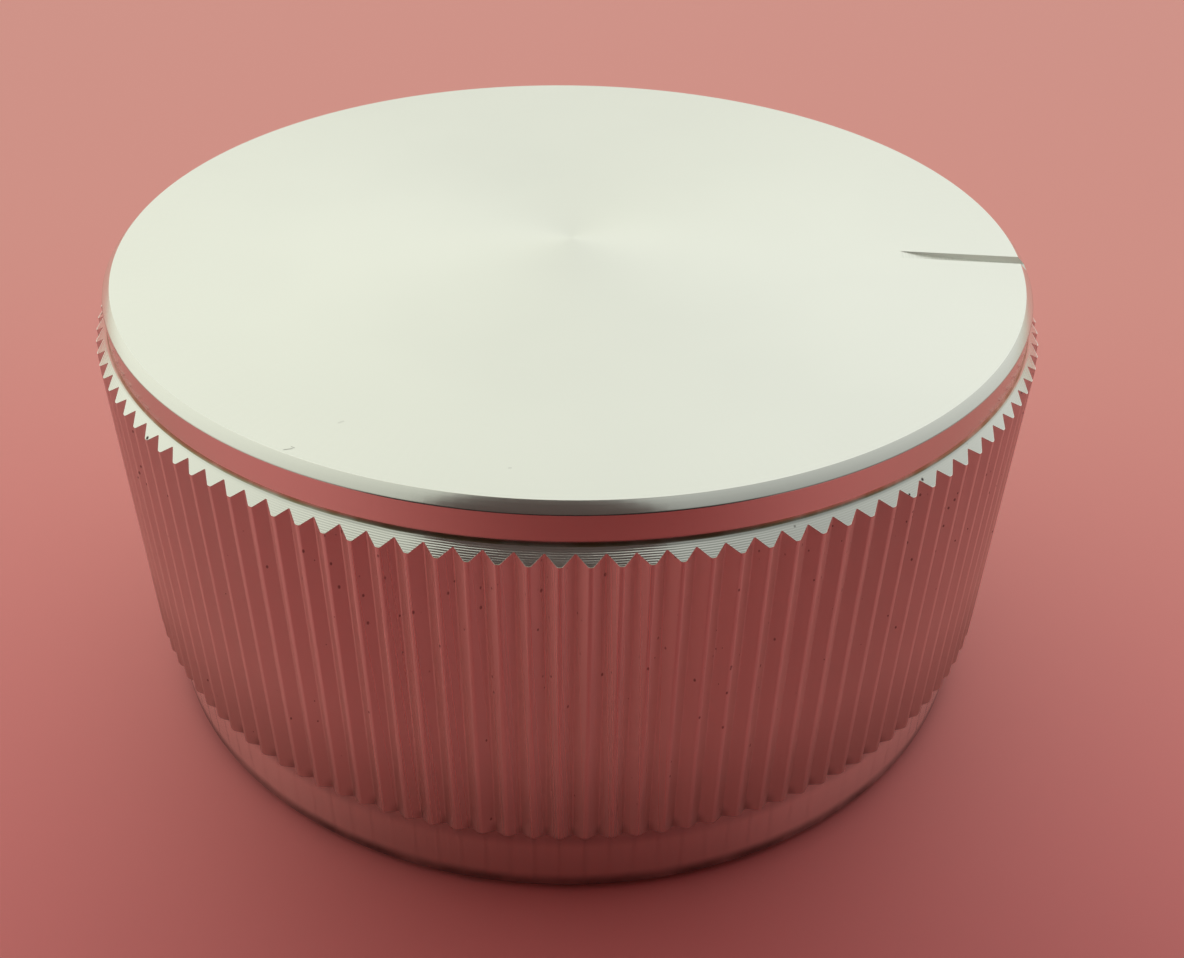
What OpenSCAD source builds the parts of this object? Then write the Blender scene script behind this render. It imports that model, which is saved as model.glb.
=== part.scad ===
// Turned aluminium control knob: knurled side, stepped neck, flat face with a pointer slot, bored
// from below for a round shaft and held by a grub screw opposite the pointer.
// Millimetres. +Z runs up the knob's axis to the face, +X points along the pointer slot, and the
// origin is the centre of the underside.

/* [Overall] */
// Diameter over the knurl's crests
knurl_d = 40; // [28:0.5:60]
// Height from the underside to the face
height = 19.5; // [16:0.5:36]

/* [Knurl] */
// Number of straight teeth round the side
teeth = 124; // [60:4:160]
// Depth of a knurl groove, crest to root
knurl_depth = 0.32; // [0.2:0.01:0.5]
// Angle between the two flanks of a groove
knurl_angle = 100; // [60:5:110]
// Width of the flat at the bottom of a groove
root_flat = 0.05; // [0.02:0.01:0.25]

/* [Head] */
// Height of the neck band, from the face down to the knurl's shoulder
neck_h = 1.52; // [1:0.02:4]
// Width of the plain ring left on the shoulder between the neck and the groove roots
shoulder_land = 0.23; // [0.1:0.01:1]
// Slope of the shoulder that caps the knurl, measured from level
shoulder_angle = 45; // [20:1:60]
// Bevel round the face
face_bevel = 0.35; // [0.1:0.05:0.8]

/* [Pointer slot] */
// Length of the slot, from the rim to where it runs out on the face
pointer_l = 5.35; // [2:0.05:8]
// Width of the slot
pointer_w = 0.65; // [0.3:0.05:1.2]
// Depth of the slot at the rim
pointer_depth = 0.3; // [0.1:0.02:0.6]

/* [Base] */
// Height of the plain band under the knurl
band_h = 3.8; // [1:0.1:6]
// Step from the groove roots in to the plain band
band_step = 0.28; // [0.1:0.01:1]
// Bevel round the foot of the plain band
base_bevel = 0.4; // [0.1:0.05:0.6]
// Diameter of the recess that clears the potentiometer's nut and washer
recess_d = 18; // [12:0.5:22]
// Depth of that recess
recess_h = 4.5; // [4.2:0.1:6]

/* [Shaft bore] */
// Diameter of the shaft
shaft_d = 6; // [4:0.05:8]
// Gap all round between the shaft and its bore
shaft_clear = 0.025; // [0.01:0.005:0.1]
// Metal left between the end of the bore's wall and the face
face_wall = 4; // [3:0.1:6]
// Countersink at the bore's mouth
bore_bevel = 0.4; // [0.1:0.05:1]
// Point angle of the drill that ends the bore
drill_angle = 118; // [90:1:140]

/* [Set screw] */
// Outside diameter of the grub screw
screw_d = 4; // [3:0.5:5]
// Length of the grub screw
screw_l = 6; // [4:0.5:10]
// Gap all round between the screw and its tapped hole
thread_clear = 0.03; // [0.01:0.01:0.1]
// How far the point is backed off from the shaft bore's wall
screw_back = 0.3; // [0.1:0.05:1]
// Bevel at both ends of the screw
screw_bevel = 0.4; // [0.1:0.05:0.6]
// Width across the flats of the hexagon socket
socket_af = 2; // [1.5:0.1:2.5]
// Depth of the hexagon socket
socket_h = 2.2; // [1:0.1:2.6]
// Diameter of the hollow cup at the point
cup_d = 2; // [1:0.1:2.2]
// Depth of the cup
cup_h = 0.6; // [0.2:0.1:1]

/* [Hidden] */
$fn = 96;
// Overshoot of a cut beyond the surface it opens
over = 1;

knurl_r = knurl_d / 2;
root_r = knurl_r - knurl_depth;
neck_r = root_r - shoulder_land;
face_r = neck_r - face_bevel;
band_r = root_r - band_step;

neck_foot = height - neck_h;
knurl_top = neck_foot - (knurl_r - neck_r) * tan(shoulder_angle);

// Radius of the slitting cutter that runs out at the pointer's inner end
cutter_r = (pointer_l * pointer_l + pointer_depth * pointer_depth) / (2 * pointer_depth);

bore_r = shaft_d / 2 + shaft_clear;
bore_end = height - face_wall;
drill_point_h = bore_r / tan(drill_angle / 2);

hole_r = screw_d / 2 + thread_clear;
screw_z = (recess_h + bore_end) / 2;
screw_point = bore_r + screw_back;

// Lathe-turned outside of the knob, before the knurl is rolled
module turned_blank() {
    rotate_extrude()
        polygon([
            [0, 0],
            [band_r - base_bevel, 0],
            [band_r, base_bevel],
            [band_r, band_h],
            [knurl_r, band_h],
            [knurl_r, knurl_top],
            [neck_r, neck_foot],
            [neck_r, height - face_bevel],
            [face_r, height],
            [0, height],
        ]);
}

// A point at the given radius, off to one side of the radial line at the given angle
function beside(radius, side, angle) = [
    radius * cos(angle) - side * sin(angle),
    radius * sin(angle) + side * cos(angle),
];

// Star-shaped bar whose notches are the knurl's grooves. Each notch has a flat root and two flanks,
// and the flanks of neighbouring notches meet outside the crests, so the blank's own surface forms them.
module knurl_bar() {
    half_pitch = 180 / teeth;
    slope = tan(knurl_angle / 2);
    apex_r = (slope * root_r - root_flat / 2) / (slope * cos(half_pitch) - sin(half_pitch));
    outline = [
        for (i = [0 : teeth - 1])
            let (a = 360 * i / teeth)
            each [
                beside(root_r, -root_flat / 2, a),
                beside(root_r, root_flat / 2, a),
                beside(apex_r, 0, a + half_pitch),
            ]
    ];
    translate([0, 0, -over])
        linear_extrude(height + 2 * over)
            polygon(outline);
}

// Slot sawn into the face from the rim by a disc cutter
module pointer_slot() {
    translate([neck_r, 0, height - pointer_depth + cutter_r])
        rotate([90, 0, 0])
            cylinder(r = cutter_r, h = pointer_w, center = true);
}

// Nut recess, countersunk mouth, shaft bore and drill point, all open at the underside
module shaft_socket() {
    rotate_extrude()
        polygon([
            [0, -over],
            [recess_d / 2, -over],
            [recess_d / 2, recess_h],
            [bore_r + bore_bevel, recess_h],
            [bore_r, recess_h + bore_bevel],
            [bore_r, bore_end],
            [0, bore_end + drill_point_h],
        ]);
}

// Moves what is drawn along +Z onto the screw's axis, with +Z turned outwards away from the pointer
module on_screw_axis() {
    translate([0, 0, screw_z])
        rotate([0, -90, 0])
            children();
}

module knob_body() {
    color([0.86, 0.87, 0.82])
        difference() {
            intersection() {
                turned_blank();
                knurl_bar();
            }
            pointer_slot();
            shaft_socket();
            on_screw_axis()
                cylinder(r = hole_r, h = knurl_r + over);
        }
}

module set_screw() {
    screw_r = screw_d / 2;
    color([0.16, 0.16, 0.17])
        on_screw_axis()
            translate([0, 0, screw_point])
                difference() {
                    rotate_extrude()
                        polygon([
                            [0, cup_h],
                            [cup_d / 2, 0],
                            [screw_r - screw_bevel, 0],
                            [screw_r, screw_bevel],
                            [screw_r, screw_l - screw_bevel],
                            [screw_r - screw_bevel, screw_l],
                            [0, screw_l],
                        ]);
                    translate([0, 0, screw_l - socket_h])
                        cylinder(r = socket_af / sqrt(3), h = socket_h + over, $fn = 6);
                }
}

knob_body();
set_screw();
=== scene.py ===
# Looks of a turned aluminium control knob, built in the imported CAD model's frame. Metres, +Z up the
# knob's axis to the face, +X along the pointer slot, origin at the centre of the underside.
import math
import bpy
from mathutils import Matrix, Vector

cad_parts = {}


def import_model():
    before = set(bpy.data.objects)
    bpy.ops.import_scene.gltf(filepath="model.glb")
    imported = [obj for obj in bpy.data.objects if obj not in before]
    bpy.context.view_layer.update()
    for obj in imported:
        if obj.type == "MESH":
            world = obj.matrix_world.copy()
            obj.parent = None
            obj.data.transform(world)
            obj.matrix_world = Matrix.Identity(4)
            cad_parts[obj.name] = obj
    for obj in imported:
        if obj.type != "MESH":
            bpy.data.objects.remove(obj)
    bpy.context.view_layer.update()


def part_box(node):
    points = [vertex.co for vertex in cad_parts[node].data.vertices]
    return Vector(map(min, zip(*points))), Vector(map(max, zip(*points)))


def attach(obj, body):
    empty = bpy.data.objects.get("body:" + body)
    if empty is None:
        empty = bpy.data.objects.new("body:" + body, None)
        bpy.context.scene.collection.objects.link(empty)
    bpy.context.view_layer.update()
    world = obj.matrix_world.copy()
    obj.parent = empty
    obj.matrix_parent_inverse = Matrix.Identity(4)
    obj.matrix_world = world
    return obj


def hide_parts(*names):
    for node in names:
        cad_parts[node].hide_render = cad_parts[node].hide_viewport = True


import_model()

from types import SimpleNamespace

import bpy
import numpy as np
from mathutils import Matrix, Vector

MM = 0.001
SEED = 41

# Lathe work, as in the part's source
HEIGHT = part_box("knob_body")[1].z
KNURL_R = 20 * MM
KNURL_DEPTH = 0.32 * MM
ROOT_R = KNURL_R - KNURL_DEPTH
NECK_R = ROOT_R - 0.23 * MM
NECK_FOOT = HEIGHT - 1.52 * MM
FACE_BEVEL = 0.35 * MM
FACE_R = NECK_R - FACE_BEVEL
NECK_FILLET = 0.42 * MM
SHOULDER_SLOPE = math.tan(math.radians(45))
BAND_R = ROOT_R - 0.28 * MM
BAND_H = 3.8 * MM
BASE_BEVEL = 0.4 * MM
RECESS_R = 9 * MM
RECESS_H = 4.5 * MM
BORE_R = 3.025 * MM
BORE_BEVEL = 0.4 * MM
BORE_END = HEIGHT - 4 * MM
DRILL_POINT = BORE_R / math.tan(math.radians(59))

# Roundings of the turned edges, and rings that only divide large faces
FACE_EDGE_ROUND = 0.03 * MM
BEVEL_EDGE_ROUND = 0.1 * MM
STEP_ROUND = 0.04 * MM
FOOT_ROUND = 0.05 * MM
BASE_ROUND = 0.04 * MM
RECESS_EDGE_ROUND = 0.08 * MM
RECESS_ROUND = 0.2 * MM
FACE_RINGS = (4 * MM, 9 * MM, 14 * MM)
BASE_RING = 14 * MM
HEAD_BEND = math.radians(12)
BODY_SHARP = math.radians(26)
SCREW_SHARP = math.radians(35)

# Straight knurl
TEETH = 124
ROOT_FLAT = 0.05 * MM
FLANK_SLOPE = math.tan(math.radians(38))
CREST_ROUND = 0.1 * MM
CREST_BEND = math.radians(21)
RING_GAP = 0.06 * MM
LIP = 0.02 * MM
LIP_REACH = 0.05 * MM
LIP_LEAST = 0.1
LIP_DROP = 0.8
KNURL_LEVELS = (14.0 * MM, 10.6 * MM, 7.2 * MM)
END_ROUND = 0.24 * MM
END_LEAST = 0.2
END_STEPS = (0, 22.5, 45, 67.5, 90)
STEP_GAP = 0.08 * MM
DEPTH_SCATTER = 0.012 * MM
PLACE_SCATTER = 0.018 * MM

# Pointer slot
POINTER_L = 5.35 * MM
POINTER_W = 0.65 * MM
POINTER_DEPTH = 0.3 * MM
CUTTER_R = (POINTER_L**2 + POINTER_DEPTH**2) / (2 * POINTER_DEPTH)

# Grub screw and its tapped hole
SCREW_R = 2 * MM
SCREW_L = 6 * MM
SCREW_Z = (RECESS_H + BORE_END) / 2
SCREW_POINT = BORE_R + 0.3 * MM
SCREW_BEVEL = 0.4 * MM
THREAD_PITCH = 0.7 * MM
THREAD_DEPTH = 0.36 * MM
THREAD_CLEAR = 0.03 * MM
THREAD_STEEP = 2.6
THREAD_FLAT = 0.15
THREAD_SIDES = 56
HOLE_START = 1.5 * MM
MOUTH_BEVEL = 0.45 * MM
SOCKET_R = 2 * MM / math.sqrt(3)
SOCKET_H = 2.2 * MM
SOCKET_POINT = 0.5 * MM
CUP_R = 1 * MM
CUP_H = 0.6 * MM

# Camera of the photograph, found by fitting the knob's edges in its 1184 x 958 frame
PHOTO_W = 1184
PHOTO_H = 958
FOCAL_PX = 1313.9
CENTRE_PX = (595.0, 536.0)
CAMERA_AT = (4.793 * MM, -52.460 * MM, 44.226 * MM)
CAMERA_YAW = math.radians(3.795)
CAMERA_DROP = math.radians(37.92)
CAMERA_ROLL = math.radians(1.249)
SENSOR_MM = 36

OVER = 1 * MM


# Mesh helpers

def make_object(name, points, faces, materials, finishes=None):
    """A mesh object from points and faces; finishes holds each face's place in materials."""
    mesh = bpy.data.meshes.new(name)
    mesh.from_pydata(points, [], faces)
    for item in materials:
        mesh.materials.append(item)
    if finishes is not None:
        mesh.polygons.foreach_set("material_index", finishes)
    mesh.update()
    obj = bpy.data.objects.new(name, mesh)
    bpy.context.scene.collection.objects.link(obj)
    return obj


def ring_faces(first, second, count):
    """Quads between two rings of count points, given each ring's first index."""
    return [
        (first + j, second + j, second + (j + 1) % count, first + (j + 1) % count)
        for j in range(count)
    ]


def lathe_mesh(rows, columns):
    """Points and faces of a closed skin. Each row is a pair (radius, height) of arrays over the
    columns' angles, and the first and last rows are points on the axis."""
    points = [(0.0, 0.0, float(rows[0][1]))]
    faces = []
    count = len(columns)
    for radius, height in rows[1:-1]:
        radius = np.broadcast_to(radius, count)
        height = np.broadcast_to(height, count)
        ring = np.column_stack((radius * np.cos(columns), radius * np.sin(columns), height))
        points.extend(map(tuple, ring.tolist()))
    points.append((0.0, 0.0, float(rows[-1][1])))
    rings = len(rows) - 2
    last = len(points) - 1
    faces += [(0, 1 + j, 1 + (j + 1) % count) for j in range(count)]
    for i in range(rings - 1):
        faces += ring_faces(1 + i * count, 1 + (i + 1) * count, count)
    low = 1 + (rings - 1) * count
    faces += [(low + j, last, low + (j + 1) % count) for j in range(count)]
    return points, faces


def unit(v):
    return v / np.linalg.norm(v)


def outline(corners, bend=math.radians(32)):
    """Rows of a lathe outline and the finish of the stretch after each. A corner is (radius, height,
    rounding, finish after it), and rounded corners become arcs in steps of at most bend."""
    rows = []
    for i, (r, z, rounding, finish) in enumerate(corners):
        here = np.array((r, z))
        if not rounding:
            rows.append((r, z, finish))
            continue
        back = unit(np.array(corners[i - 1][:2]) - here)
        ahead = unit(np.array(corners[i + 1][:2]) - here)
        half = math.acos(np.clip(back @ ahead, -1, 1)) / 2
        centre = here + unit(back + ahead) * rounding / math.sin(half)
        start = here + back * rounding / math.tan(half) - centre
        end = here + ahead * rounding / math.tan(half) - centre
        turn = math.pi - 2 * half
        steps = max(1, math.ceil(turn / bend))
        for k in range(steps + 1):
            a = turn * k / steps
            p = centre + (math.sin(turn - a) * start + math.sin(a) * end) / math.sin(turn)
            rows.append((p[0], p[1], finish))
    return rows


def cut(obj, cutter):
    """Subtracts cutter from obj for good, keeping the cutter's materials on the new walls."""
    boolean = obj.modifiers.new("cut", "BOOLEAN")
    boolean.operation = "DIFFERENCE"
    boolean.solver = "EXACT"
    boolean.material_mode = "TRANSFER"
    boolean.object = cutter
    view = bpy.context.evaluated_depsgraph_get()
    made = bpy.data.meshes.new_from_object(obj.evaluated_get(view))
    obj.modifiers.remove(boolean)
    obj.data = made
    bpy.data.objects.remove(cutter)


def finish_shading(obj, sharp_angle, flat=()):
    """Smooth faces with hard edges past sharp_angle, and normals led by the large faces. Faces with
    a material at a place listed in flat stay flat."""
    slots = np.empty(len(obj.data.polygons), dtype=np.int32)
    obj.data.polygons.foreach_get("material_index", slots)
    obj.data.polygons.foreach_set("use_smooth", ~np.isin(slots, flat))
    obj.data.set_sharp_from_angle(angle=sharp_angle)
    weighted = obj.modifiers.new("weighted_normals", "WEIGHTED_NORMAL")
    weighted.keep_sharp = True
    weighted.weight = 90


# Material helpers

class Nodes:
    """A node tree with short calls to add and link nodes. Inputs may be sockets or plain values."""

    def __init__(self, tree):
        self.tree = tree

    def add(self, kind, inputs=(), **settings):
        made = self.tree.nodes.new("ShaderNode" + kind)
        for name, value in settings.items():
            setattr(made, name, value)
        for key, value in dict(inputs).items():
            if isinstance(value, bpy.types.NodeSocket):
                self.tree.links.new(value, made.inputs[key])
            else:
                made.inputs[key].default_value = value
        return made

    def math(self, operation, a, b=0.0, clamp=False):
        return self.add("Math", {0: a, 1: b}, operation=operation, use_clamp=clamp).outputs[0]

    def ramp(self, value, low, high, to_low=0.0, to_high=1.0, smooth=True):
        kind = "SMOOTHSTEP" if smooth else "LINEAR"
        inputs = {"Value": value, "From Min": low, "From Max": high, "To Min": to_low, "To Max": to_high}
        return self.add("MapRange", inputs, interpolation_type=kind).outputs[0]

    def mix(self, share, a, b):
        made = self.add("Mix", {0: share, 6: a, 7: b}, data_type="RGBA")
        return made.outputs[2]

    def noise(self, detail=2.0, scale=1.0, rough=0.5, vector=None, w=None):
        inputs = {"Scale": scale, "Detail": detail, "Roughness": rough}
        if w is not None:
            inputs["W"] = w
            return self.add("TexNoise", inputs, noise_dimensions="1D").outputs[0]
        inputs["Vector"] = vector
        return self.add("TexNoise", inputs).outputs[0]

    def places(self):
        """Object coordinates in millimetres: the vector, x, y, z, the radius and the angle."""
        coords = self.add("TexCoord").outputs["Object"]
        vector = self.add("VectorMath", {0: coords, "Scale": 1 / MM}, operation="SCALE").outputs[0]
        split = self.add("SeparateXYZ", {0: vector}).outputs
        flat = self.add("VectorMath", {0: vector, 1: (1, 1, 0)}, operation="MULTIPLY").outputs[0]
        radius = self.add("VectorMath", {0: flat}, operation="LENGTH").outputs["Value"]
        angle = self.math("ARCTAN2", split[1], split[0])
        return SimpleNamespace(
            vector=vector, x=split[0], y=split[1], z=split[2], radius=radius, angle=angle,
        )


def metal(name, colour, roughness, anisotropic=0.0):
    """A metal material: (material, its Nodes, its Principled shader)."""
    made = bpy.data.materials.new(name)
    made.use_nodes = True
    shader = made.node_tree.nodes["Principled BSDF"]
    shader.inputs["Base Color"].default_value = (*colour, 1)
    shader.inputs["Metallic"].default_value = 1
    shader.inputs["Roughness"].default_value = roughness
    shader.inputs["Anisotropic"].default_value = anisotropic
    return made, Nodes(made.node_tree), shader


def add_bump(n, shader, height, distance, strength=1.0):
    inputs = {"Height": height, "Distance": distance, "Strength": strength}
    n.tree.links.new(n.add("Bump", inputs).outputs[0], shader.inputs["Normal"])


def turn_tangent(n, shader):
    """Lets a shader's anisotropy follow the circles round the knob's axis."""
    tangent = n.add("Tangent", direction_type="RADIAL", axis="Z")
    n.tree.links.new(tangent.outputs[0], shader.inputs["Tangent"])


# Colours of the metal, of what lies on it, and of painted shade
ALUMINIUM = (0.86, 0.87, 0.82)
WORN = (0.845, 0.855, 0.807)
SAWN = (0.8, 0.81, 0.76)
OXIDE = (0.04, 0.04, 0.045)
RUBBED = (0.2, 0.2, 0.2)
# Dark colour of dirt, and of painted shade at the grooves' lower ends
DIRT_AND_SHADE = (0.05, 0.03, 0.03)
# Dark colour painted as shade at the foot and along the step under the knurl
PAINTED_SHADE = (0.1, 0.08, 0.075)
# Olive colour painted in the neck's corner as shade and as a reflection, with some tarnish
TARNISH_AND_SHADE = (0.42, 0.37, 0.23)
# Darker aluminium, painted as shade on the neck's sides, the knurl's foot and the band's front
SHADED_ALUMINIUM = (0.64, 0.62, 0.58)

# Tool marks on the shoulder: pitch in mm, and depth
MARK_PITCH = 0.057
MARK_DEPTH = 0.0014 * MM

# Stretch of y, in mm, over which a finish, or its painted shade, passes from its front to its sides
NECK_FRONT = (-19.0, -12.5)
SHOULDER_FRONT = (-19.6, -17.0)
KNURL_FRONT = (-19.6, -15.5)
BAND_FRONT = (-19.4, -15.5)

# Stretch of height, in mm, over which dirt specks or painted shade come or go
SPECKS_FROM = (8.0, 17.0)
GROOVE_END_SHADE = (BAND_H / MM + 0.1, BAND_H / MM + 0.7)
KNURL_FOOT_SHADE = (BAND_H / MM, BAND_H / MM + 5.5)
FOOT_SHADE = (0.55, 1.15)
STEP_SHADE = (2.6, 3.3)

# Stretch of x, in mm, over which the pointer slot passes from the face's look to its own
SLOT_FADE = ((NECK_R - POINTER_L) / MM, (NECK_R - POINTER_L) / MM + 3.5)


def dirt_specks(n, vector, scale, share):
    """A mask of small round specks, in the given share of places."""
    cells = n.add("TexVoronoi", {"Vector": vector, "Scale": scale, "Randomness": 1.0})
    draw = n.add("SeparateColor", {0: cells.outputs["Color"]}).outputs
    chosen = n.math("LESS_THAN", draw[0], share)
    size = n.ramp(draw[1], 0, 1, 0.06, 0.2, smooth=False)
    near = n.math("DIVIDE", cells.outputs["Distance"], size)
    return n.math("MULTIPLY", n.ramp(near, 0.5, 1.2, 1.0, 0.0), chosen)


# Small marks on the face: place in x and y, tilt in degrees, length and width, all in mm, and strength
FACE_MARKS = [
    (-7.83, -17.15, 20, 0.42, 0.07, 0.55),
    (-7.70, -17.02, -25, 0.22, 0.05, 0.5),
    (-6.47, -15.34, 40, 0.3, 0.12, 0.15),
    (-0.37, -17.46, 10, 0.16, 0.08, 0.2),
]


def spun_face():
    """The flat face: fine concentric marks that stretch its reflections outwards."""
    made, n, shader = metal("spun_face", ALUMINIUM, 0.32, anisotropic=0.75)
    shader.inputs["Anisotropic Rotation"].default_value = 0.25
    at = n.places()
    turn_tangent(n, shader)
    rings = n.noise(w=at.radius, scale=14, detail=4, rough=0.7)
    n.tree.links.new(n.ramp(rings, 0.3, 0.7, 0.28, 0.36, smooth=False), shader.inputs["Roughness"])
    cloud = n.noise(vector=at.vector, scale=0.12, detail=2)
    plain = n.mix(n.ramp(cloud, 0.35, 0.7), (*ALUMINIUM, 1), (*WORN, 1))
    marked = 0.0
    for across, away, tilt, long, wide, strength in FACE_MARKS:
        dx = n.math("SUBTRACT", at.x, across)
        dy = n.math("SUBTRACT", at.y, away)
        c = math.cos(math.radians(tilt))
        s = math.sin(math.radians(tilt))
        along = n.math("ADD", n.math("MULTIPLY", dx, c), n.math("MULTIPLY", dy, s))
        off = n.math("SUBTRACT", n.math("MULTIPLY", dy, c), n.math("MULTIPLY", dx, s))
        inside = n.ramp(n.math("ABSOLUTE", along), long / 4, long / 2, strength, 0.0)
        stroke = n.math("MULTIPLY", inside, n.ramp(n.math("ABSOLUTE", off), wide / 4, wide / 2, 1.0, 0.0))
        marked = n.math("MAXIMUM", marked, stroke)
    n.tree.links.new(n.mix(marked, plain, (*DIRT_AND_SHADE, 1)), shader.inputs["Base Color"])
    return made


def turned_metal(name, roughness, ring_scale, ring_depth, along):
    """Bright turned metal with fine tool marks round the axis, along the radius or the height."""
    made, n, shader = metal(name, ALUMINIUM, roughness)
    at = n.places()
    way = {"radius": at.radius, "height": at.z}[along]
    rings = n.noise(w=way, scale=ring_scale, detail=3, rough=0.7)
    spread = n.ramp(rings, 0.3, 0.7, roughness * 0.8, roughness * 1.25, smooth=False)
    n.tree.links.new(spread, shader.inputs["Roughness"])
    add_bump(n, shader, rings, ring_depth)
    return made


def polished_neck():
    """The neck band: polished metal, with painted shade that darkens it away from the front."""
    made, n, shader = metal("polished_neck", ALUMINIUM, 0.18)
    at = n.places()
    # Painted shade: the sides are darker than the front
    plain = n.mix(n.ramp(at.y, *NECK_FRONT), (*ALUMINIUM, 1), (*SHADED_ALUMINIUM, 1))
    n.tree.links.new(plain, shader.inputs["Base Color"])
    rings = n.noise(w=at.z, scale=16, detail=3, rough=0.7)
    n.tree.links.new(n.ramp(rings, 0.3, 0.7, 0.15, 0.22, smooth=False), shader.inputs["Roughness"])
    return made


def neck_fillet():
    """The corner between the neck and the shoulder: an olive tint and darkening painted as shade and
    reflection, with some tarnish, lighter in patches.
    """
    made, n, shader = metal("neck_fillet", TARNISH_AND_SHADE, 0.28)
    at = n.places()
    patches = n.ramp(n.noise(vector=at.vector, scale=0.9, detail=3), 0.35, 0.7, 0.0, 0.5)
    n.tree.links.new(n.mix(patches, (*TARNISH_AND_SHADE, 1), (*ALUMINIUM, 1)), shader.inputs["Base Color"])
    return made


def turned_shoulder():
    """The sloped shoulder: even tool marks round the axis, clearest in front, with dirt caught here
    and there."""
    made, n, shader = metal("turned_shoulder", ALUMINIUM, 0.15)
    at = n.places()
    waver = n.noise(vector=at.vector, scale=0.8, detail=1)
    turn = n.math("MULTIPLY", at.radius, 2 * math.pi / MARK_PITCH)
    marks = n.math("SINE", n.math("ADD", turn, n.math("MULTIPLY", waver, 3.0)))
    grain = n.noise(w=at.radius, scale=30, detail=2)
    deeper = n.ramp(at.y, *SHOULDER_FRONT, 2.2, 0.5)
    add_bump(n, shader, n.math("MULTIPLY", n.math("ADD", marks, grain), deeper), MARK_DEPTH / 2)
    dirt_and_shade = dirt_specks(n, at.vector, 2.2, 0.12)
    n.tree.links.new(n.mix(dirt_and_shade, (*ALUMINIUM, 1), (*DIRT_AND_SHADE, 1)), shader.inputs["Base Color"])
    return made


def knurled_side():
    """The knurl: lengthwise streaks that spread its reflections sideways, least where the front is rubbed
    smooth, painted shade that darkens it towards the foot and at the grooves' lower ends, and dirt in pits
    that lie in clusters along the teeth."""
    made, n, shader = metal("knurled_side", ALUMINIUM, 0.36, anisotropic=0.85)
    turn_tangent(n, shader)
    at = n.places()
    streak_at = n.math("MULTIPLY", at.angle, 20.0)
    sway = n.math("MULTIPLY", at.z, 0.03)
    streaks = n.noise(w=n.math("ADD", streak_at, sway), scale=9, detail=3, rough=0.7)
    streaked = n.ramp(streaks, 0.3, 0.7, 0.26, 0.32, smooth=False)
    rougher = n.ramp(at.y, *KNURL_FRONT, 0.0, 0.18)
    n.tree.links.new(n.math("ADD", streaked, rougher), shader.inputs["Roughness"])
    along = n.add("CombineXYZ", {0: streak_at, 2: n.math("MULTIPLY", at.z, 0.3)}).outputs[0]
    cluster = n.ramp(n.noise(vector=along, scale=0.9, detail=2), 0.38, 0.66, 0.06, 0.95)
    share = n.math("MULTIPLY", cluster, n.ramp(at.z, *SPECKS_FROM, 0.12, 1.0))
    longer = n.add("VectorMath", {0: at.vector, 1: (1, 1, 0.6)}, operation="MULTIPLY").outputs[0]
    specks = dirt_specks(n, longer, 3.4, share)
    # Painted shade at the grooves' lower ends, above the band
    sunk = n.ramp(at.radius, ROOT_R / MM, KNURL_R / MM - 0.08, 1.0, 0.0)
    low = n.ramp(at.z, *GROOVE_END_SHADE, 0.35, 0.0)
    dirt_and_shade = n.math("MAXIMUM", n.math("MULTIPLY", specks, 0.6), n.math("MULTIPLY", sunk, low))
    # Painted shade: darker towards the foot
    plain = n.mix(n.ramp(at.z, *KNURL_FOOT_SHADE, 0.9, 0.0), (*ALUMINIUM, 1), (*SHADED_ALUMINIUM, 1))
    n.tree.links.new(n.mix(dirt_and_shade, plain, (*DIRT_AND_SHADE, 1)), shader.inputs["Base Color"])
    add_bump(n, shader, n.math("SUBTRACT", 1.0, specks), 0.01 * MM)
    return made


def plain_band():
    """The plain band under the knurl: metal darkened by painted shade, most in front, towards the foot and
    along the step, in patches.
    """
    made, n, shader = metal("plain_band", SHADED_ALUMINIUM, 0.22)
    at = n.places()
    patches = n.ramp(n.noise(vector=at.vector, scale=0.5, detail=3), 0.3, 0.7, 0.6, 1.0)
    # Painted shade towards the foot and along the step under the knurl
    foot = n.ramp(at.z, *FOOT_SHADE, 0.9, 0.0)
    step = n.ramp(at.z, *STEP_SHADE, 0.0, 0.4)
    shade_mask = n.math("MULTIPLY", n.math("ADD", foot, step), patches)
    # Painted shade: the front is darker than the sides
    plain = n.mix(n.ramp(at.y, *BAND_FRONT), (*SHADED_ALUMINIUM, 1), (*ALUMINIUM, 1))
    n.tree.links.new(n.mix(shade_mask, plain, (*PAINTED_SHADE, 1)), shader.inputs["Base Color"])
    rings = n.noise(w=at.z, scale=8, detail=3, rough=0.7)
    add_bump(n, shader, rings, 0.001 * MM)
    return made


def shaded_foot():
    """The bevel that the knob stands on, darkened as painted shade, with patches of bare metal."""
    made, n, shader = metal("shaded_foot", PAINTED_SHADE, 0.5)
    at = n.places()
    rubbed = n.ramp(n.noise(vector=at.vector, scale=0.7, detail=3), 0.5, 0.75, 0.0, 0.3)
    n.tree.links.new(n.mix(rubbed, (*PAINTED_SHADE, 1), (*ALUMINIUM, 1)), shader.inputs["Base Color"])
    return made


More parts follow.
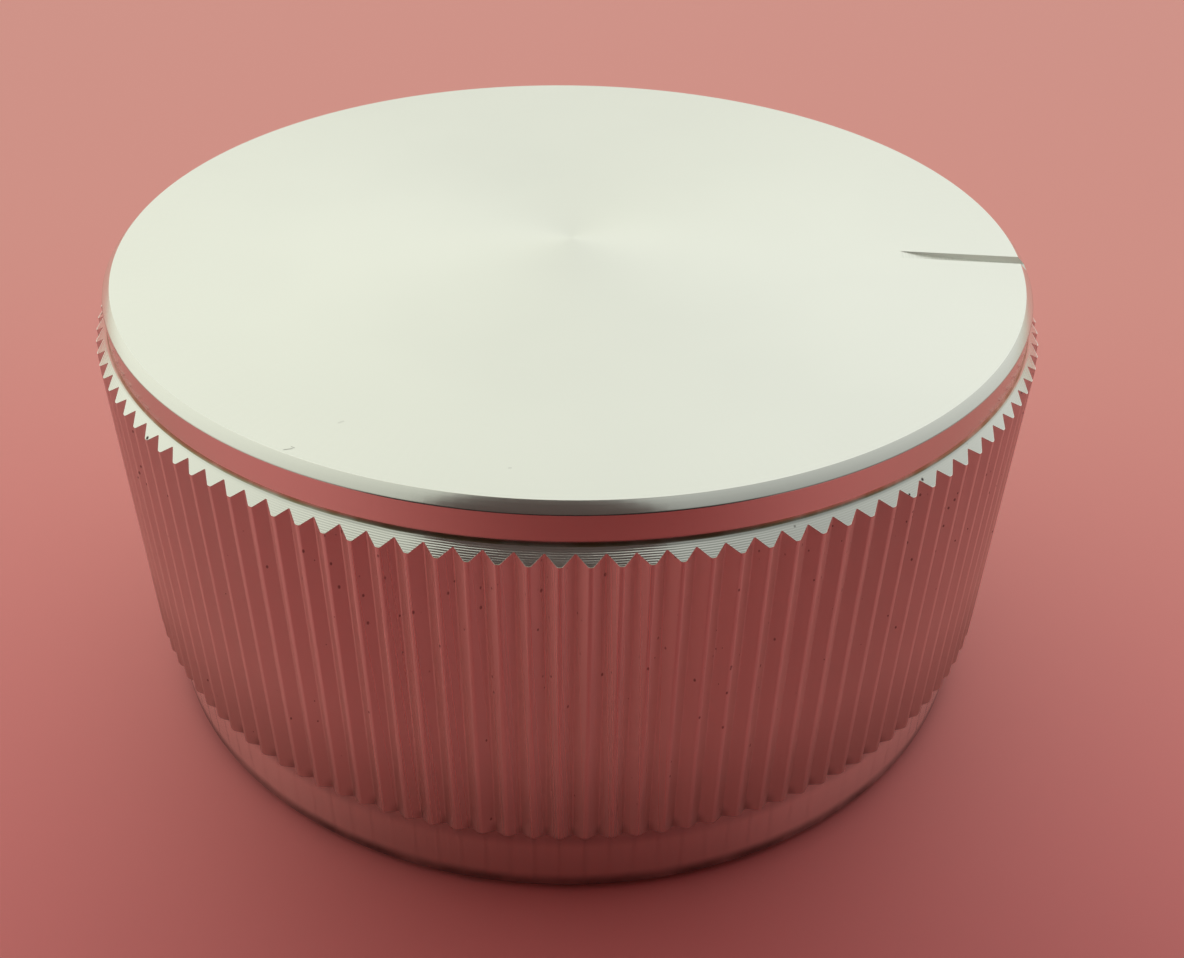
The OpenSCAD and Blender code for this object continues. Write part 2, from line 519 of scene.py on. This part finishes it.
def sawn_slot():
    """The pointer slot: dull saw-cut metal that scatters more light towards the rim, where it is
    deepest, and looks like the face where it runs out."""
    made, n, shader = metal("sawn_slot", ALUMINIUM, 0.55)
    shader.inputs["Anisotropic"].default_value = 0.5
    shader.inputs["Anisotropic Rotation"].default_value = 0.25
    turn_tangent(n, shader)
    at = n.places()
    n.tree.links.new(n.ramp(at.x, *SLOT_FADE, 1.0, 0.25), shader.inputs["Metallic"])
    n.tree.links.new(n.ramp(at.x, *SLOT_FADE, 0.34, 0.55), shader.inputs["Roughness"])
    saw = n.noise(w=at.x, scale=9, detail=3, rough=0.7)
    plain = n.mix(n.ramp(saw, 0.3, 0.7), (*ALUMINIUM, 1), (*SAWN, 1))
    n.tree.links.new(plain, shader.inputs["Base Color"])
    add_bump(n, shader, saw, 0.001 * MM)
    return made


def slot_wall():
    """The slot's two walls: matt pale metal."""
    made, n, shader = metal("slot_wall", ALUMINIUM, 0.6)
    shader.inputs["Metallic"].default_value = 0.0
    grain = n.noise(vector=n.places().vector, scale=12, detail=2)
    add_bump(n, shader, grain, 0.002 * MM)
    return made


def black_oxide():
    """The grub screw's black finish, rubbed bright in places."""
    made, n, shader = metal("black_oxide", OXIDE, 0.4)
    at = n.places()
    wear = n.ramp(n.noise(vector=at.vector, scale=2.2, detail=4), 0.55, 0.75)
    n.tree.links.new(n.mix(wear, (*OXIDE, 1), (*RUBBED, 1)), shader.inputs["Base Color"])
    n.tree.links.new(n.ramp(wear, 0, 1, 0.45, 0.3), shader.inputs["Roughness"])
    return made


# The knob

FINISHES = [
    "face", "edge", "neck", "fillet", "shoulder", "knurl",
    "band", "foot", "base", "bore", "slot", "slot_wall",
]


def tooth_columns(rng):
    """Angles round the knob and the knurl's radius at each: a flat root, two flanks and a crest for
    every tooth, with the small scatter of a cut knurl."""
    pitch = 2 * math.pi / TEETH
    crest_at = ROOT_FLAT / 2 + KNURL_DEPTH / FLANK_SLOPE
    half = [
        (0.0, ROOT_R, 0, None),
        (ROOT_FLAT / 2, ROOT_R, 0, None),
        (crest_at, KNURL_R, CREST_ROUND, None),
        (KNURL_R * pitch / 2, KNURL_R, 0, None),
    ]
    side = [(s, r) for s, r, _ in outline(half, bend=CREST_BEND)]
    tooth = [(-s, r) for s, r in reversed(side[1:-1])] + side
    depth = rng.uniform(-1, 1, TEETH) * DEPTH_SCATTER
    shift = rng.uniform(-1, 1, TEETH) * PLACE_SCATTER
    angles, radii = [], []
    for i in range(TEETH):
        for s, r in tooth:
            low = (KNURL_R - r) / KNURL_DEPTH
            angles.append(i * pitch + (s + shift[i] * low) / r)
            radii.append(r + depth[i] * low)
    return np.array(angles), np.array(radii)


def body_rows(knurl):
    """Rows of the knob's skin from the middle of the face, down the side and up into the bore, and
    the finish of the strip after each."""
    ring_r = ROOT_R - RING_GAP
    head = outline([
        (0.0, HEIGHT, 0, "face"),
        *[(r, HEIGHT, 0, "face") for r in FACE_RINGS],
        (FACE_R, HEIGHT, FACE_EDGE_ROUND, "edge"),
        (NECK_R, HEIGHT - FACE_BEVEL, BEVEL_EDGE_ROUND, "neck"),
        (NECK_R, NECK_FOOT, NECK_FILLET, "fillet"),
        (ring_r, NECK_FOOT - (ring_r - NECK_R) * SHOULDER_SLOPE, 0, "shoulder"),
    ], bend=HEAD_BEND)
    corner = [i for i, row in enumerate(head) if row[2] == "fillet"]
    head[corner[0]] = (*head[corner[0]][:2], "neck")
    for i in corner[-2:]:
        head[i] = (*head[i][:2], "shoulder")
    edge_z = NECK_FOOT - (knurl - NECK_R) * SHOULDER_SLOPE
    lip = LIP * np.clip((knurl - KNURL_R) / LIP_REACH + 1, LIP_LEAST, 1)
    side = [
        (knurl - lip, edge_z + lip * SHOULDER_SLOPE, "shoulder"),
        (knurl, edge_z + LIP_DROP * lip * SHOULDER_SLOPE, "knurl"),
        *[(knurl, z, "knurl") for z in KNURL_LEVELS],
    ]
    end_round = END_ROUND * np.clip((knurl - ROOT_R) / KNURL_DEPTH, END_LEAST, 1)
    for a in np.radians(END_STEPS):
        row = (knurl - end_round * (1 - math.cos(a)), BAND_H + end_round * (1 - math.sin(a)), "knurl")
        side.append(row)
    side[-1] = (*side[-1][:2], "band")
    foot = outline([
        (knurl.min() - STEP_GAP, BAND_H, 0, "band"),
        (BAND_R, BAND_H, STEP_ROUND, "band"),
        (BAND_R, BASE_BEVEL, FOOT_ROUND, "foot"),
        (BAND_R - BASE_BEVEL, 0.0, BASE_ROUND, "base"),
        (BASE_RING, 0.0, 0, "base"),
        (RECESS_R, 0.0, RECESS_EDGE_ROUND, "bore"),
        (RECESS_R, RECESS_H, RECESS_ROUND, "bore"),
        (BORE_R + BORE_BEVEL, RECESS_H, 0, "bore"),
        (BORE_R, RECESS_H + BORE_BEVEL, 0, "bore"),
        (BORE_R, BORE_END, 0, "bore"),
        (0.0, BORE_END + DRILL_POINT, 0, "bore"),
    ])
    return head + side + foot


def pointer_cutter(floor, wall):
    """The slitting disc's lower edge as a prism across the rim, open above the face."""
    reach = math.asin((POINTER_L + OVER) / CUTTER_R)
    steps = 40
    middle = (NECK_R, HEIGHT - POINTER_DEPTH + CUTTER_R)
    arc = [
        (middle[0] + CUTTER_R * math.sin(a), middle[1] - CUTTER_R * math.cos(a))
        for a in np.linspace(-reach, reach / 3, steps)
    ]
    lid = HEIGHT + 2 * OVER
    section = arc + [(arc[-1][0], lid), (arc[0][0], lid)]
    count = len(section)
    points = [(x, y, z) for y in (-POINTER_W / 2, POINTER_W / 2) for x, z in section]
    faces = [tuple(range(count)), tuple(reversed(range(count, 2 * count)))]
    faces += [
        (j, j + count, (j + 1) % count + count, (j + 1) % count)
        for j in range(count)
    ]
    finishes = [1, 1] + [0] * count
    return make_object("pointer_cutter", points, faces, [floor, wall], finishes)


def thread_rows(start, end, clear, bevel, columns):
    """Rows of a screw thread about +Z, from start to end. clear is taken off its radius all over,
    and both ends are bevelled by that much."""
    per_turn = 7
    heights = np.arange(start, end, THREAD_PITCH / per_turn)
    heights = np.append(heights[: -1 if end - heights[-1] < THREAD_PITCH / 30 else None], end)
    crest = SCREW_R + THREAD_CLEAR - clear
    rows = []
    for z in heights:
        turn = (z / THREAD_PITCH - columns / (2 * math.pi)) % 1.0
        ridge = np.clip(THREAD_STEEP * np.abs(turn - 0.5) - THREAD_FLAT, 0, 1)
        radius = crest - THREAD_DEPTH * ridge
        if bevel:
            radius = np.minimum(radius, crest - bevel + min(z - start, end - z))
        rows.append((radius, np.full_like(columns, z)))
    return rows


def on_screw_axis():
    """Turns +Z to the screw's axis, outwards on the side away from the pointer."""
    return Matrix.Translation((0, 0, SCREW_Z)) @ Matrix.Rotation(math.radians(-90), 4, "Y")


def thread_columns():
    return np.linspace(0, 2 * math.pi, THREAD_SIDES, endpoint=False)


def hole_cutter(material):
    """The tapped hole for the grub screw, with a countersunk mouth."""
    columns = thread_columns()
    end = KNURL_R + OVER
    rows = [
        (np.maximum(radius, SCREW_R + height - KNURL_R + MOUTH_BEVEL), height)
        for radius, height in thread_rows(HOLE_START, end, 0.0, 0.0, columns)
    ]
    points, faces = lathe_mesh([(0, end)] + rows[::-1] + [(0, HOLE_START)], columns)
    made = make_object("hole_cutter", points, faces, [material])
    made.data.transform(on_screw_axis())
    return made


def knob(materials):
    rng = np.random.default_rng(SEED)
    columns, knurl = tooth_columns(rng)
    rows = body_rows(knurl)
    points, faces = lathe_mesh([row[:2] for row in rows], columns)
    strip = [FINISHES.index(row[2]) for row in rows[:-1]]
    finishes = np.repeat(strip, len(columns))
    obj = make_object("knob_body_detail", points, faces, materials, finishes)
    cut(obj, pointer_cutter(materials[FINISHES.index("slot")], materials[FINISHES.index("slot_wall")]))
    cut(obj, hole_cutter(materials[FINISHES.index("bore")]))
    finish_shading(obj, BODY_SHARP, [FINISHES.index("shoulder"), FINISHES.index("knurl")])
    return obj


def grub_screw(material):
    columns = thread_columns()
    thread = thread_rows(0.0, SCREW_L, THREAD_CLEAR, SCREW_BEVEL, columns)
    rows = [(0, SCREW_L)] + thread[::-1] + [(CUP_R, 0.0), (0, CUP_H)]
    points, faces = lathe_mesh(rows, columns)
    obj = make_object("set_screw_detail", points, faces, [material])
    corners = [
        (SOCKET_R * math.cos(a), SOCKET_R * math.sin(a))
        for a in np.arange(6) * math.pi / 3
    ]
    levels = [SCREW_L - SOCKET_H, SCREW_L + OVER]
    prism = [(x, y, z) for z in levels for x, y in corners] + [(0, 0, levels[0] - SOCKET_POINT)]
    sides = [(j, (j + 1) % 6, (j + 1) % 6 + 6, j + 6) for j in range(6)]
    floor = [((j + 1) % 6, j, 12) for j in range(6)]
    cut(obj, make_object("socket_cutter", prism, sides + floor + [tuple(range(6, 12))], [material]))
    obj.data.transform(on_screw_axis() @ Matrix.Translation((0, 0, SCREW_POINT)))
    finish_shading(obj, SCREW_SHARP)
    return obj


# Stage, light and camera

# The floor's colour deepens towards the front as painted shade
FLOOR_PALE = (0.87, 0.33, 0.30)
FLOOR_SHADED = (0.83, 0.21, 0.22)
FLOOR_SHADED_AT = -40
FLOOR_PALE_AT = 45
FLOOR_HALF = 1.5
FLOOR_DROP = 0.01 * MM
SKY_LEFT = (0.98, 1.0, 0.88)
SKY_RIGHT = (0.97, 0.99, 0.94)
HORIZON_TINT = (0.72, 0.69, 0.56)
SKY_TOWARDS = Vector((-0.27, 0.75, 0.6)).normalized()
SKY_DIM = 0.12
SKY_BRIGHT = 0.95
SKY_SPAN = (-0.6, 0.8)
SKY_SIDES = (-0.7, 0.7)
HORIZON_SPAN = (-0.02, 0.16)
LENS_SIDES = 48
LENS_R = 23 * MM
LENS_SHIFT = -5 * MM
LENS_COLOUR = (0.14, 0.18, 0.185)
BACK_CARD_AT = (8 * MM, -75 * MM, 25 * MM)
BACK_CARD_SIZE = (125 * MM, 50 * MM)
CARD_COLOUR = (0.03, 0.03, 0.03)
SHADE_Z = 27 * MM
SHADE_CORNERS = ((-17 * MM, -19 * MM), (28 * MM, -19 * MM), (80 * MM, -110 * MM), (-24 * MM, -110 * MM))
SHADE_COLOUR = (0.5, 0.06, 0.06)


def plain_surface(name, colour, roughness):
    """A matt one-colour material for studio cards."""
    made = bpy.data.materials.new(name)
    made.use_nodes = True
    shader = made.node_tree.nodes["Principled BSDF"]
    shader.inputs["Base Color"].default_value = (*colour, 1)
    shader.inputs["Roughness"].default_value = roughness
    return made


def floor():
    made = bpy.data.materials.new("floor_paper")
    made.use_nodes = True
    n = Nodes(made.node_tree)
    shader = made.node_tree.nodes["Principled BSDF"]
    shader.inputs["Roughness"].default_value = 0.6
    # Painted shade: the floor is darker and deeper in colour towards the front
    depth = n.ramp(n.places().y, FLOOR_SHADED_AT, FLOOR_PALE_AT)
    n.tree.links.new(n.mix(depth, (*FLOOR_SHADED, 1), (*FLOOR_PALE, 1)), shader.inputs["Base Color"])
    corners = [(sx * FLOOR_HALF, sy * FLOOR_HALF, 0) for sx, sy in ((-1, -1), (1, -1), (1, 1), (-1, 1))]
    obj = make_object("floor", corners, [(0, 1, 2, 3)], [made])
    obj.location.z = -FLOOR_DROP


def world():
    made = bpy.data.worlds.new("soft_dome")
    made.use_nodes = True
    bpy.context.scene.world = made
    n = Nodes(made.node_tree)
    light = made.node_tree.nodes["Background"]
    way = n.add("TexCoord").outputs["Generated"]
    towards = n.add("VectorMath", {0: way, 1: SKY_TOWARDS}, operation="DOT_PRODUCT").outputs["Value"]
    level = n.ramp(towards, *SKY_SPAN, SKY_DIM, SKY_BRIGHT)
    split = n.add("SeparateXYZ", {0: way}).outputs
    sky = n.mix(n.ramp(split[0], *SKY_SIDES), (*SKY_LEFT, 1), (*SKY_RIGHT, 1))
    tint = n.mix(n.ramp(split[2], *HORIZON_SPAN), (*HORIZON_TINT, 1), sky)
    dome = n.add("VectorMath", {0: tint, "Scale": level}, operation="SCALE").outputs[0]
    n.tree.links.new(dome, light.inputs["Color"])


def lens_card(camera_place):
    """A dark disc at the camera's lens, which the bevel and the shoulder mirror at the front."""
    turns = np.linspace(0, 2 * math.pi, LENS_SIDES, endpoint=False)
    rim = [(LENS_SHIFT + LENS_R * math.cos(a), LENS_R * math.sin(a), 0) for a in turns]
    black = plain_surface("lens_black", LENS_COLOUR, 0.8)
    obj = make_object("lens_card", rim, [tuple(range(LENS_SIDES))], [black])
    obj.matrix_world = camera_place
    obj.visible_camera = False


def back_card():
    """A black card that stands on the floor behind the camera, so that the neck's round edges
    mirror dark at the front."""
    wide, tall = BACK_CARD_SIZE[0] / 2, BACK_CARD_SIZE[1] / 2
    corners = [(-wide, 0, -tall), (wide, 0, -tall), (wide, 0, tall), (-wide, 0, tall)]
    obj = make_object("back_card", corners, [(0, 1, 2, 3)], [plain_surface("card_black", CARD_COLOUR, 0.9)])
    obj.location = BACK_CARD_AT
    obj.visible_camera = False


def shade_card():
    """A rose card over the floor in front, as a photographer's own shade. Reflections pass it."""
    corners = [(x, y, SHADE_Z) for x, y in SHADE_CORNERS]
    obj = make_object("shade_card", corners, [(0, 1, 2, 3)], [plain_surface("card_rose", SHADE_COLOUR, 0.9)])
    obj.visible_camera = False
    obj.visible_glossy = False


def camera():
    data = bpy.data.cameras.new("photo_camera")
    data.sensor_fit = "HORIZONTAL"
    data.sensor_width = SENSOR_MM
    data.lens = FOCAL_PX / PHOTO_W * SENSOR_MM
    data.shift_x = (PHOTO_W / 2 - CENTRE_PX[0]) / PHOTO_W
    data.shift_y = (CENTRE_PX[1] - PHOTO_H / 2) / PHOTO_W
    data.clip_start = 1 * MM
    obj = bpy.data.objects.new("photo_camera", data)
    tilt = Matrix.Rotation(math.radians(90) - CAMERA_DROP, 4, "X")
    turn = Matrix.Rotation(CAMERA_YAW, 4, "Z")
    roll = Matrix.Rotation(CAMERA_ROLL, 4, "Z")
    obj.matrix_world = Matrix.Translation(CAMERA_AT) @ turn @ tilt @ roll
    bpy.context.scene.collection.objects.link(obj)
    bpy.context.scene.camera = obj
    return obj.matrix_world


bpy.context.scene.view_settings.view_transform = "Standard"
lens_card(camera())
back_card()
shade_card()
floor()
world()

body = knob([
    spun_face(),
    turned_metal("turned_edge", 0.18, 16, 0.0003 * MM, "height"),
    polished_neck(),
    neck_fillet(),
    turned_shoulder(),
    knurled_side(),
    plain_band(),
    shaded_foot(),
    turned_metal("turned_base", 0.25, 5, 0.004 * MM, "radius"),
    turned_metal("bored_metal", 0.25, 6, 0.006 * MM, "height"),
    sawn_slot(),
    slot_wall(),
])
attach(body, "root")
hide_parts("knob_body")

screw = grub_screw(black_oxide())
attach(screw, "root")
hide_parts("set_screw")
